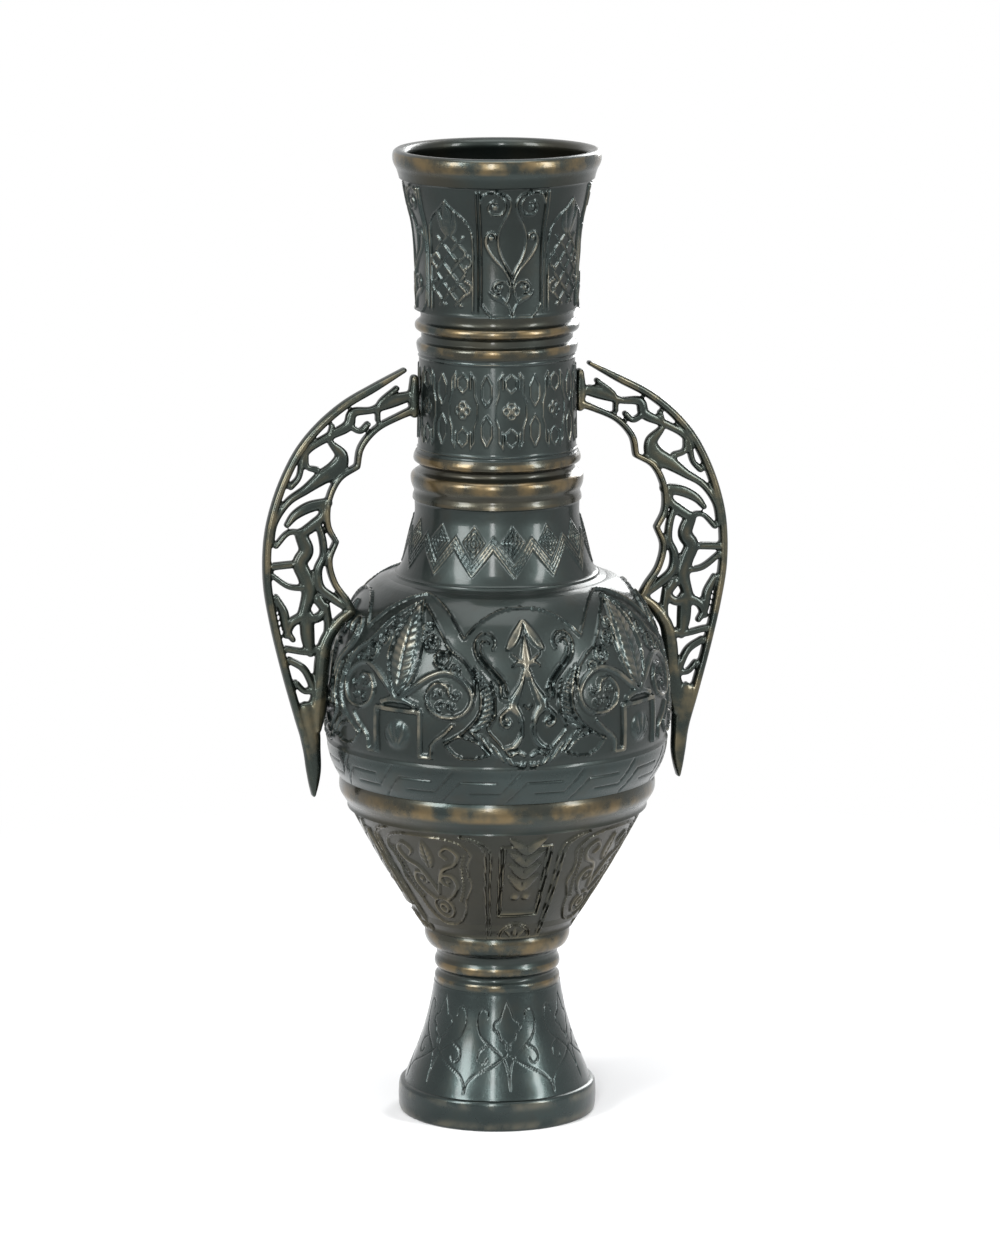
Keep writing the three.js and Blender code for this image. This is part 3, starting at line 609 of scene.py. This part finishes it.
def linear(code):
    """The linear colour of an sRGB hex code."""
    channels = [int(code[i:i + 2], 16) / 255 for i in (0, 2, 4)]
    return (*[c / 12.92 if c <= 0.04045 else ((c + 0.055) / 1.055) ** 2.4 for c in channels], 1.0)


def add_node(tree, kind, inputs=None, **settings):
    """Adds a shader node, sets its properties, and links or sets its inputs."""
    node = tree.nodes.new(kind)
    for key, value in settings.items():
        setattr(node, key, value)
    for key, value in (inputs or {}).items():
        if isinstance(value, bpy.types.NodeSocket):
            tree.links.new(value, node.inputs[key])
        else:
            node.inputs[key].default_value = value
    return node


def noise(tree, where, size_mm, detail=3.0, rough=0.55):
    """Noise whose blotches are about `size_mm` wide."""
    return add_node(tree, "ShaderNodeTexNoise", {
        "Vector": where, "Scale": 1000.0 / size_mm, "Detail": detail, "Roughness": rough}).outputs["Fac"]


def span(tree, value, low, high):
    """Maps `low`..`high` of a value to 0..1, clamped and eased."""
    return add_node(tree, "ShaderNodeMapRange", {"Value": value, "From Min": low, "From Max": high},
                    interpolation_type="SMOOTHSTEP").outputs["Result"]


def blend_colour(tree, share, first, second):
    """Mixes two colours, each a socket or a linear colour."""
    return add_node(tree, "ShaderNodeMix", {0: share, 6: first, 7: second}, data_type="RGBA").outputs[2]


def maths(tree, how, first, second=0.0):
    """One arithmetic step."""
    return add_node(tree, "ShaderNodeMath", {0: first, 1: second}, operation=how).outputs[0]


def bronze(name, deep, skin, rub_and_highlight_colour, rub_and_highlight_strength=0.5, verdigris=0.25, handle=False):
    """Patinated bronze: a dark skin over brown metal, rubbed bright where it stands out, and painted highlight on the
    same raised parts.

    The eye gets: broad cloudy shifts of green, blue and brown in the skin, golden rubbing on raised
    edges that is also their painted highlight, painted shade that darkens the hollows, a little green bloom
    in scattered spots, and a satin gloss that is duller in the hollows.
    """
    material = bpy.data.materials.new(name)
    material.use_nodes = True
    tree = material.node_tree
    shader = tree.nodes["Principled BSDF"]
    where = add_node(tree, "ShaderNodeTexCoord").outputs["Object"]
    if handle:
        # On a handle the crowns of the strips count as raised and get the rubbed colour with its painted highlight.
        # Their sides count as hollows and get painted shade.
        level = add_node(tree, "ShaderNodeSeparateXYZ", {0: where}).outputs["Y"]
        raised = span(tree, maths(tree, "ABSOLUTE", level), 0.0022, 0.0052)
    else:
        raised = add_node(tree, "ShaderNodeAttribute", attribute_name="relief").outputs["Fac"]
    clouds = noise(tree, where, 90)
    blotch = noise(tree, where, 22, 4.0)
    grain = noise(tree, where, 3.2, 3.0)
    colour = blend_colour(tree, span(tree, clouds, 0.35, 0.65), linear(deep), linear(skin))
    colour = blend_colour(tree, maths(tree, "MULTIPLY", span(tree, blotch, 0.5, 0.75), 0.3), colour, linear("2c281f"))
    # The rubbed colour on raised parts is real wear, and also painted highlight where raised lines catch the light.
    rub_and_highlight_mask = maths(tree, "MULTIPLY", span(tree, raised, 0.55, 1.0), span(tree, blotch, 0.38, 0.66))
    colour = blend_colour(tree, maths(tree, "MULTIPLY", rub_and_highlight_mask, rub_and_highlight_strength), colour, linear(rub_and_highlight_colour))
    # Painted shade: the hollows and the ground of the relief are darkened towards near black 15150f.
    hollow = span(tree, raised, 0.45, 0.05)
    colour = blend_colour(tree, maths(tree, "MULTIPLY", hollow, 0.35), colour, linear("15150f"))
    spots = span(tree, noise(tree, where, 7, 5.0, 0.7), 0.70, 0.78)
    spread = span(tree, noise(tree, where, 60), 0.52, 0.66)
    bloom = maths(tree, "MULTIPLY", maths(tree, "MULTIPLY", spots, spread), verdigris)
    colour = blend_colour(tree, bloom, colour, linear("2f6b57"))
    tree.links.new(colour, shader.inputs["Base Color"])
    gloss = add_node(tree, "ShaderNodeMapRange", {"Value": blotch, "To Min": 0.2, "To Max": 0.36})
    dull = maths(tree, "MULTIPLY", hollow, 0.12)
    tree.links.new(maths(tree, "ADD", gloss.outputs["Result"], dull), shader.inputs["Roughness"])
    shader.inputs["Metallic"].default_value = 0.86
    shader.inputs["Coat Weight"].default_value = 0.3
    shader.inputs["Coat Roughness"].default_value = 0.12
    bump = add_node(tree, "ShaderNodeBump", {"Height": grain, "Strength": 0.16, "Distance": 0.0006})
    ripple = add_node(tree, "ShaderNodeBump", {"Height": blotch, "Strength": 0.12, "Distance": 0.002,
                                               "Normal": bump.outputs["Normal"]})
    tree.links.new(ripple.outputs["Normal"], shader.inputs["Normal"])
    return material


def fixing_steel():
    """Dull turned steel for the bolt and screws: grey with faint darker stains."""
    material = bpy.data.materials.new("dull_fixing_steel")
    material.use_nodes = True
    tree = material.node_tree
    shader = tree.nodes["Principled BSDF"]
    where = add_node(tree, "ShaderNodeTexCoord").outputs["Object"]
    stain = span(tree, noise(tree, where, 6), 0.4, 0.7)
    tree.links.new(blend_colour(tree, stain, linear("77787a"), linear("4a453f")), shader.inputs["Base Color"])
    shader.inputs["Metallic"].default_value = 0.9
    shader.inputs["Roughness"].default_value = 0.45
    return material


def vessel_materials():
    """The vessel's finishes by the record's slot."""
    # Each finish's third colour is the rubbed colour of raised parts, which is also their painted highlight.
    return {
        "dark_bronze": bronze("dark_patinated_bronze", "232c2b", "2c3635", "8a8270", rub_and_highlight_strength=0.42),
        "brown_bronze": bronze("brown_patinated_bronze", "2a2d27", "38352a", "756b52", rub_and_highlight_strength=0.32, verdigris=0.1),
        "rubbed_bronze": bronze("rubbed_bronze", "262f2d", "36342a", "8a7248", rub_and_highlight_strength=0.4, verdigris=0.1),
    }


# Handle strips: (distance out, height, half-width) in mm. They follow the CAD handle's openings.
RAILS = (
    ((74, 591, 2), (98, 578, 3.4), (121, 565.5, 3.5), (141.5, 549, 3.5), (156.5, 531.5, 3.5), (168, 510.5, 3.5),
      (176.8, 487, 3.5), (182, 463, 3.5), (182.8, 430, 3.5), (178.5, 401, 3.5), (169.8, 363, 3.5),
      (159.3, 324.6, 3.6), (152, 299, 3.6), (148.4, 278, 3.2), (147.4, 264, 2)),
    ((66, 560, 3.6), (78, 555.3, 3), (96.5, 546, 2.8), (108.5, 532, 2.8), (111.5, 517.5, 2.6)),
    ((111.5, 517.5, 2.6), (125.5, 509, 2.8), (134, 492.5, 2.8), (135, 472.5, 2.8), (128.5, 459.5, 2.4)),
    ((128.5, 459.5, 2.4), (134, 445, 2.8), (130, 427.5, 2.8), (121, 414, 3), (116, 404, 3.6)),
)
STRAPS = (
    ((66, 584, 3.4), (66.5, 570, 4.6), (66, 557, 3.6)),
    ((117, 404, 4), (124.5, 398.5, 4.4), (131, 391, 5), (137, 381, 5.4), (140, 366, 6.2), (141.5, 346, 6.2),
      (144, 327, 7.6), (144.5, 313, 4)),
    ((153, 327, 8), (150, 310, 8.4), (148.3, 295, 7), (147.2, 280, 6), (147.2, 268, 3.8), (147.4, 260.5, 1.6)),
)
FILLING = (
    ((68, 571, 4), (84, 567, 5.4), (99, 561, 3), (115, 559, 4), (118, 550, 4.6), (133, 542, 3.6),
      (152, 530, 3.2), (158, 510, 2.4), (164, 504, 3)),
    ((80, 577, 2.4), (94, 565, 2.2), (95, 553, 2.2)),
    ((118, 550, 2.6), (109, 545, 2.6), (103, 550, 2.6)),
    ((131, 550, 2.2), (133, 539, 2.4), (124, 527, 5.5), (127, 517, 7.8), (139, 510, 6.2), (152, 501, 4),
      (166, 492, 3.2), (177, 476, 3), (180, 460, 2.8)),
    ((152, 528, 2.4), (151, 519, 2.4), (143, 516, 2.8)),
    ((135, 490, 4.2), (150, 487, 4.7), (161, 481, 3.8), (167, 474, 2.4)),
    ((140, 490, 2.6), (139, 481, 3.4), (146, 473, 4.7), (157, 466, 4)),
    ((156, 468, 2.4), (166, 468, 2.4), (176, 458, 2.4)),
    ((156, 466, 5.2), (152, 453, 6.2), (157, 444, 6.2), (153, 433, 6.2), (150, 421, 6.2), (153, 409, 5),
      (155, 402, 5)),
    ((164, 443, 3.2), (180, 442, 3.2)),
    ((143, 475, 2.6), (139, 461, 3.2), (138.5, 449, 3.2), (143, 437, 3.8), (141, 424, 3.8), (131, 415, 3.8),
      (122, 408, 3)),
    ((155, 424, 2.6), (166, 426, 2.6), (180, 436, 2.4)),
    ((176, 418, 2.6), (170, 405, 4), (168, 392, 3.2), (163, 384, 2.4)),
    ((155, 402, 4.4), (164, 397, 4), (168, 388, 3.2)),
    ((155, 402, 4.4), (144, 400, 4), (138, 406, 4), (143, 415, 4.4)),
    ((152, 402, 6), (151, 384, 5.6), (149, 373, 3.6)),
    ((137, 409, 3.8), (135, 394, 3.4), (138, 380, 3.4), (148, 374, 3), (169, 377, 2.8)),
    ((166, 368, 3), (155, 361, 3.2), (149, 350, 3.2), (145, 338, 4)),
    ((161, 350, 2.6), (154, 343, 2.6), (146, 344, 3.2)),
)
STRIP_SIDES = 12


def swept_strip(points, depth, side):
    """A strip swept along its spine: each ring is an ellipse as wide as the strip and `depth` thick.

    Both ends are drawn in to a rounded tip and closed by a small cap ring.
    """
    line = smooth_line(points, 1.6)
    heading = np.gradient(line[:, :2], axis=0)
    heading /= np.linalg.norm(heading, axis=1, keepdims=True)
    across = np.stack([-heading[:, 1], heading[:, 0]], 1)
    tips = np.array([0.08, 0.6, 0.88])
    first = np.repeat(line[:1], 3, 0)
    first[:, :2] -= heading[:1] * line[0, 2] * np.sqrt(1 - tips[:, None] ** 2)
    last = np.repeat(line[-1:], 3, 0)
    last[:, :2] += heading[-1:] * line[-1, 2] * np.sqrt(1 - tips[::-1, None] ** 2)
    spine = np.vstack([first, line, last])
    across = np.vstack([across[:1].repeat(3, 0), across, across[-1:].repeat(3, 0)])
    scale = np.concatenate([tips, np.ones(len(line)), tips[::-1]])
    angle = np.arange(STRIP_SIDES) / STRIP_SIDES * TURN
    wide = np.sign(np.cos(angle)) * np.abs(np.cos(angle)) ** 0.8
    deep = np.sign(np.sin(angle)) * np.abs(np.sin(angle)) ** 0.8
    half = (spine[:, 2] * scale)[:, None]
    x = spine[:, 0, None] + across[:, 0, None] * half * wide
    z = spine[:, 1, None] + across[:, 1, None] * half * wide
    y = depth / 2 * (scale ** 0.6)[:, None] * deep * np.ones_like(x)
    place = np.stack([x * side, y, z], 2).reshape(-1, 3)
    rows = len(spine)
    i = np.arange(rows - 1)[:, None]
    j = np.arange(STRIP_SIDES)[None, :]
    on = (j + 1) % STRIP_SIDES
    quads = np.stack([i * STRIP_SIDES + j, i * STRIP_SIDES + on, (i + 1) * STRIP_SIDES + on, (i + 1) * STRIP_SIDES + j], 2)
    faces = [tuple(q) for q in quads.reshape(-1, 4)]
    faces.append(tuple(range(STRIP_SIDES))[::-1])
    faces.append(tuple(range((rows - 1) * STRIP_SIDES, rows * STRIP_SIDES)))
    return place, faces


def joined_casting(name, strips, side, voxel, material):
    """Swept strips melted into one casting by a voxel remesh, then smoothed."""
    places, faces, base = [], [], 0
    for points, depth in strips:
        place, quads = swept_strip(points, depth, side)
        places.append(place)
        faces += [tuple(int(k) + base for k in q) for q in quads]
        base += len(place)
    mesh = bpy.data.meshes.new(name)
    mesh.from_pydata((np.vstack(places) * MM).tolist(), [], faces)
    mesh.validate()
    piece = bpy.data.objects.new(name, mesh)
    bpy.context.scene.collection.objects.link(piece)
    remesh = piece.modifiers.new("melt", "REMESH")
    remesh.mode = "VOXEL"
    remesh.voxel_size = voxel * MM
    remesh.use_smooth_shade = True
    soften = piece.modifiers.new("soften", "SMOOTH")
    soften.factor = 0.5
    soften.iterations = 2
    graph = bpy.context.evaluated_depsgraph_get()
    made = bpy.data.meshes.new_from_object(piece.evaluated_get(graph))
    piece.modifiers.clear()
    piece.data = made
    bpy.data.meshes.remove(mesh)
    made.name = name
    made.materials.clear()
    made.materials.append(material)
    made.polygons.foreach_set("use_smooth", np.ones(len(made.polygons), bool))
    return piece


# Inner profiles of the sections, from the top down, as (radius, height)

WALL = 4.0
BOLT_HOLE = 5.6


def plain_inside(outer):
    """The outer profile moved in by one wall."""
    inner = np.stack([outer[::-16, 0] - WALL, outer[::-16, 1]], 1)
    return np.vstack([inner, [outer[0, 0] - WALL, outer[0, 1]]])


def body_inside(outer):
    """The lower body's inside, down to the vessel's floor and its bolt hole."""
    base = outer[0, 1]
    floor = base + 8.0
    inner = np.stack([outer[::-16, 0] - WALL, outer[::-16, 1]], 1)
    inner = inner[inner[:, 1] > floor + 2]
    return np.vstack([inner, [inner[-1, 0] - 4, floor], [BOLT_HOLE, floor], [BOLT_HOLE, base]])


def plinth_inside(outer):
    """The plinth's plate with its bolt hole, and the ring that it stands on."""
    ring = outer[:, 0].max() - 9.0
    return np.array([
        [ring, outer[-1, 1]], [ring, 15.0], [BOLT_HOLE, 15.0], [BOLT_HOLE, 10.0], [ring, 10.0], [ring, 0.0],
    ])


def mouth_inside(outer):
    """Inside of the mouth: a rolled lip, a narrow step and the bore below it."""
    top = outer[-1]
    opening = 69.5
    bore = 70.6
    low = outer[0, 1]
    return np.array([
        [top[0] - 2.5, top[1]], [opening + 1.6, top[1] - 1.2], [opening, top[1] - 3.4], [opening, top[1] - 8.0],
        [bore, top[1] - 9.5], [bore, low],
    ])


INSIDES = {"lower_body": body_inside, "foot_plinth": plinth_inside, "mouth_ring": mouth_inside}


# Operators

class VASE_OT_body(bpy.types.Operator):
    """Builds the skins of all turned sections."""

    bl_idname = "vase.body"
    bl_label = "Build the vessel"

    def execute(self, context):
        settings = context.scene.vase_body
        finishes = vessel_materials()
        tops = stack_tops()
        for node in STACK:
            carved = node in RELIEFS
            columns = settings.columns if carved else settings.plain_columns
            outline = cad_outline(node, tops[node])
            outer = smooth_line(outline, settings.row_step * (TALL_ROWS if node == "shoulder" else 1))
            outer[:, 1] = np.clip(outer[:, 1], outline[0, 1], tops[node])
            rise = line_length(outer)
            relief = section_relief(node, rise, columns, proud_share(outer))
            depth = getattr(settings, RELIEFS[node][3]) if carved else 0.0
            sunk = settings.inset + depth * (1 - relief)
            edge = np.minimum(rise, rise[-1] - rise)
            sunk = sunk * np.clip(edge / 1.5, 0, 1)[:, None]
            inner = INSIDES.get(node, plain_inside)(outer)
            # Incised sections' relief is scaled down, so their flat ground gets little rubbed colour and painted
            # highlight, and only the grooves get painted shade.
            shown = relief * INCISED_GROUND_SHARE if node in INCISED else relief
            turned_piece(node + "_skin", outer, inner, columns, sunk, shown, finishes[SLOTS[node]])
        return {"FINISHED"}


class VASE_OT_handles(bpy.types.Operator):
    """Builds the two pierced handles."""

    bl_idname = "vase.handles"
    bl_label = "Build the handles"

    def execute(self, context):
        settings = context.scene.vase_handles
        # The third colour is the rubbed colour of the strips' crowns, which is also their painted highlight.
        finish = bronze("handle_bronze", "242c29", "2e352f", "7a6d50", rub_and_highlight_strength=0.4, verdigris=0.05, handle=True)
        strips = [(line, settings.depth) for line in RAILS]
        strips += [(line, settings.depth) for line in STRAPS]
        strips += [(line, settings.depth * 0.8) for line in FILLING]
        for node, side in (("left_handle", -1), ("right_handle", 1)):
            piece = joined_casting(node + "_casting", strips, side, settings.voxel, finish)
            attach(piece, "root")
            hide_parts(node)
        return {"FINISHED"}


class VASE_OT_fixings(bpy.types.Operator):
    """Gives the bolt, washer, nut and screws their finish."""

    bl_idname = "vase.fixings"
    bl_label = "Finish the fixings"

    def execute(self, context):
        steel = fixing_steel()
        for name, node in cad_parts.items():
            if "screw" in name or name in ("foot_bolt", "foot_washer", "foot_nut"):
                node.data.materials.clear()
                node.data.materials.append(steel)
        return {"FINISHED"}


def area_light(name, place, target, size, power):
    """A soft box that faces `target`. Sizes and places are in metres."""
    data = bpy.data.lights.new(name, "AREA")
    data.shape = "RECTANGLE"
    data.size, data.size_y = size
    data.energy = power
    lamp = bpy.data.objects.new(name, data)
    bpy.context.scene.collection.objects.link(lamp)
    lamp.location = place
    lamp.rotation_euler = (Vector(target) - Vector(place)).to_track_quat("-Z", "Y").to_euler()
    return lamp


class VASE_OT_stage(bpy.types.Operator):
    """Builds the floor, lights, background and camera."""

    bl_idname = "vase.stage"
    bl_label = "Set the stage"

    def execute(self, context):
        settings = context.scene.vase_stage
        scene = context.scene
        scene.view_settings.view_transform = "Standard"
        turn = math.radians(ROOM_TURN)
        aim = math.radians(settings.pitch)
        right = Vector((math.cos(turn), -math.sin(turn), 0))
        ahead = Vector((math.sin(turn), math.cos(turn), 0))
        data = bpy.data.cameras.new("camera")
        data.lens = settings.lens
        data.sensor_width = 36.0
        data.clip_start, data.clip_end = 0.1, 40.0
        camera = bpy.data.objects.new("camera", data)
        scene.collection.objects.link(camera)
        camera.location = (-ahead * settings.distance + right * settings.aside) * MM + Vector((0, 0, settings.height * MM))
        look = ahead * math.cos(aim) - Vector((0, 0, math.sin(aim)))
        camera.rotation_mode = "QUATERNION"
        camera.rotation_quaternion = look.to_track_quat("-Z", "Y")
        scene.camera = camera

        mesh = bpy.data.meshes.new("floor")
        mesh.from_pydata([(-9, -9, 0), (9, -9, 0), (9, 9, 0), (-9, 9, 0)], [], [(0, 1, 2, 3)])
        floor = bpy.data.objects.new("floor", mesh)
        scene.collection.objects.link(floor)
        paint = bpy.data.materials.new("pale_floor")
        paint.use_nodes = True
        tree = paint.node_tree
        shader = tree.nodes["Principled BSDF"]
        shader.inputs["Base Color"].default_value = (0.93, 0.93, 0.93, 1)
        shader.inputs["Roughness"].default_value = 0.9
        shader.inputs["Specular IOR Level"].default_value = 0.1
        where = add_node(tree, "ShaderNodeTexCoord").outputs["Object"]
        far = add_node(tree, "ShaderNodeVectorMath", {0: where}, operation="LENGTH").outputs["Value"]
        sight = add_node(tree, "ShaderNodeLightPath").outputs
        seen = maths(tree, "MAXIMUM", sight["Is Camera Ray"], sight["Is Glossy Ray"])
        seen = maths(tree, "MAXIMUM", seen, sight["Is Transmission Ray"])
        share = maths(tree, "MULTIPLY", span(tree, far, 0.45, 1.1), seen)
        plain = add_node(tree, "ShaderNodeEmission", {"Color": (1, 1, 1, 1), "Strength": 1.0})
        cover = add_node(tree, "ShaderNodeMixShader", {0: share, 1: shader.outputs[0], 2: plain.outputs[0]})
        tree.links.new(cover.outputs[0], tree.nodes["Material Output"].inputs["Surface"])
        mesh.materials.append(paint)

        world = bpy.data.worlds.new("studio")
        scene.world = world
        world.use_nodes = True
        tree = world.node_tree
        ground = tree.nodes["Background"]
        ground.inputs["Color"].default_value = (0.62, 0.64, 0.68, 1)
        ground.inputs["Strength"].default_value = 0.32
        rays = add_node(tree, "ShaderNodeLightPath").outputs
        seen = maths(tree, "MAXIMUM", rays["Is Camera Ray"], rays["Is Glossy Ray"])
        seen = maths(tree, "MAXIMUM", seen, rays["Is Transmission Ray"])
        white = add_node(tree, "ShaderNodeBackground", {"Color": (1, 1, 1, 1), "Strength": 1.0})
        both = add_node(tree, "ShaderNodeMixShader", {0: seen, 1: ground.outputs[0], 2: white.outputs[0]})
        tree.links.new(both.outputs[0], tree.nodes["World Output"].inputs["Surface"])

        middle = (0, 0, 0.4)
        area_light("key_left", -right * 1.7 - ahead * 1.6 + Vector((0, 0, 1.5)), middle, (0.7, 1.6), 60)
        area_light("fill_right", right * 1.8 - ahead * 1.2 + Vector((0, 0, 1.2)), middle, (0.35, 1.5), 34)
        area_light("front_low", -ahead * 2.4 - right * 0.25 + Vector((0, 0, 1.0)), middle, (0.22, 1.5), 30)
        area_light("back_fill", right * 0.9 + ahead * 2.2 + Vector((0, 0, 1.4)), middle, (0.8, 1.6), 34)
        area_light("top", Vector((0, 0, 2.4)) - ahead * 0.3, middle, (1.6, 1.6), 30)
        return {"FINISHED"}


class VASE_PT_panel(bpy.types.Panel):
    """Buttons and sizes of the vase."""

    bl_label = "Twin-handled vase"
    bl_space_type = "VIEW_3D"
    bl_region_type = "UI"
    bl_category = "Vase"

    def draw(self, context):
        layout = self.layout
        for group in (context.scene.vase_body, context.scene.vase_handles, context.scene.vase_stage):
            box = layout.box()
            for key in group.bl_rna.properties.keys():
                if key not in ("rna_type", "name"):
                    box.prop(group, key)
        for label in ("vase.body", "vase.handles", "vase.fixings", "vase.stage"):
            layout.operator(label)


CLASSES = (
    VaseBodySettings, VaseHandleSettings, VaseStageSettings, VASE_OT_body, VASE_OT_handles, VASE_OT_fixings,
    VASE_OT_stage, VASE_PT_panel,
)


def register():
    """Registers the classes and the three groups of settings."""
    for item in CLASSES:
        bpy.utils.register_class(item)
    bpy.types.Scene.vase_body = bpy.props.PointerProperty(type=VaseBodySettings)
    bpy.types.Scene.vase_handles = bpy.props.PointerProperty(type=VaseHandleSettings)
    bpy.types.Scene.vase_stage = bpy.props.PointerProperty(type=VaseStageSettings)


def unregister():
    """Takes the settings and classes away again."""
    for name in ("vase_body", "vase_handles", "vase_stage"):
        delattr(bpy.types.Scene, name)
    for item in reversed(CLASSES):
        bpy.utils.unregister_class(item)


def main():
    """Builds every piece and the stage."""
    register()
    bpy.ops.vase.body()
    bpy.ops.vase.handles()
    bpy.ops.vase.fixings()
    bpy.ops.vase.stage()


if __name__ == "__main__":
    main()
